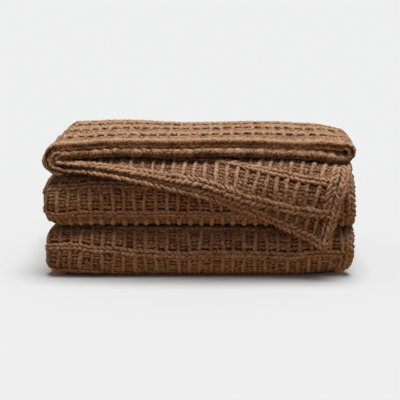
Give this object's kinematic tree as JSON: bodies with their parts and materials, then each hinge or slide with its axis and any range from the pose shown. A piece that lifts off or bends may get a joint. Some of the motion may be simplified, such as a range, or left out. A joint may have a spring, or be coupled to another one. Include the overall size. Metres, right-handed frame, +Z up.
{
  "type": "folded chenille knit throw",
  "caption": "Chunky chenille knit throw blanket folded into a soft stack, with ribbed and welted knit, braided hems and a turned-down front corner.",
  "frame": {"origin": "middle of the flat underside, on the surface that the folded throw rests on", "axes": "+Z up, +X along the folds to the right of the front, +Y away from the front towards the back folds"},
  "size_m": [0.4539, 0.292, 0.2161],
  "materials": {
    "chenille": "soft brown chenille yarn, matt with a faint sheen"
  },
  "bodies": {
    "root": {"throw": "chenille"}
  },
  "joints": []
}
